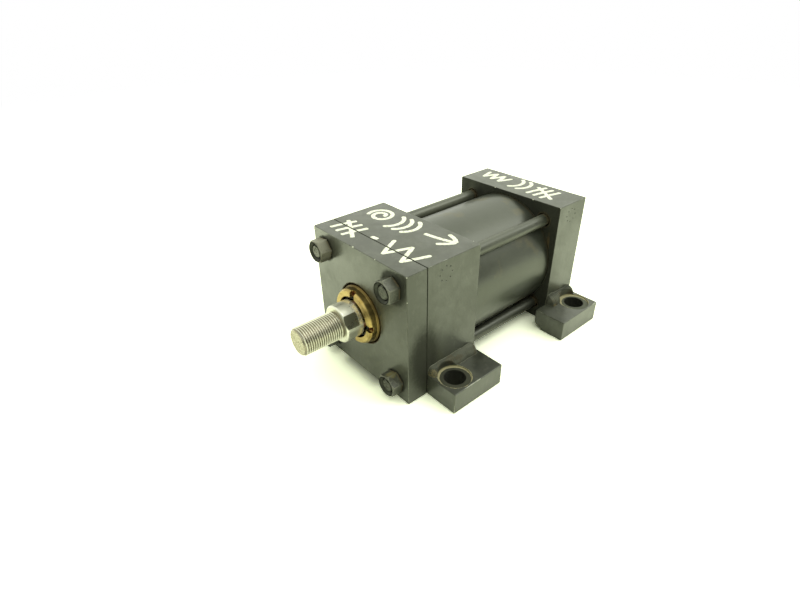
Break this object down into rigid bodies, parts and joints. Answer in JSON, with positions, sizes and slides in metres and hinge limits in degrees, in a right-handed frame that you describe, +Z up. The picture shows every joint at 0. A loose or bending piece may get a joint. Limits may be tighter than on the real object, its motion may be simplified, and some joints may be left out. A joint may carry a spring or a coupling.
{
  "type": "pneumatic cylinder",
  "caption": "Tie-rod air cylinder with square steel end blocks, welded side lugs, a bronze gland and a threaded piston rod that slides out and turns.",
  "frame": {"origin": "on the mounting surface under the head, below the rod's axis, midway between the two front lug holes", "axes": "+Y along the rod from the rod end to the cap end, +Z up from the mounting surface, +X to the right seen from the rod end"},
  "size_m": [0.146, 0.2309, 0.0953],
  "materials": {
    "block_steel": "dark oiled steel, worn at the edges",
    "tube_paint": "satin black paint",
    "rod_black_steel": "black steel with a little rust at its ends",
    "nut_steel": "dark steel, olive stained",
    "gland_bronze": "machined bronze, browned on its side",
    "rod_chrome": "bright turned steel",
    "piston_iron": "turned",
    "seal_rubber": "matt black",
    "guide_plastic": "brown filled plastic"
  },
  "bodies": {
    "cylinder": {"retainer_plate": "block_steel", "head": "block_steel", "cap": "block_steel", "cylinder_tube": "tube_paint", "tube_gasket_front": "seal_rubber", "tube_gasket_rear": "seal_rubber", "upper_right_tie_rod": "rod_black_steel", "upper_left_tie_rod": "rod_black_steel", "lower_right_tie_rod": "rod_black_steel", "lower_left_tie_rod": "rod_black_steel", "upper_right_front_nut": "nut_steel", "upper_left_front_nut": "nut_steel", "lower_right_front_nut": "nut_steel", "lower_left_front_nut": "nut_steel", "upper_right_rear_nut": "nut_steel", "upper_left_rear_nut": "nut_steel", "lower_right_rear_nut": "nut_steel", "lower_left_rear_nut": "nut_steel", "front_right_lug": "block_steel", "front_left_lug": "block_steel", "rear_right_lug": "block_steel", "rear_left_lug": "block_steel", "rod_gland": "gland_bronze", "rod_wiper": "seal_rubber", "rod_seal": "seal_rubber", "gland_o_ring": "seal_rubber"},
    "piston_rings": {"piston_seal_front": "seal_rubber", "piston_seal_rear": "seal_rubber", "wear_ring": "guide_plastic"},
    "rod_and_piston": {"piston_rod": "rod_chrome", "piston": "piston_iron", "piston_nut": "nut_steel", "piston_o_ring": "seal_rubber"}
  },
  "joints": [
    {"name": "rod_slide", "type": "slide", "parent": "cylinder", "child": "piston_rings", "axis": [0, -1, 0], "range_m": [0, 0.0508]},
    {"name": "rod_turn", "type": "hinge", "parent": "piston_rings", "child": "rod_and_piston", "pos_m": [0, 0, 0.04763], "axis": [0, -1, 0], "continuous": true}
  ]
}
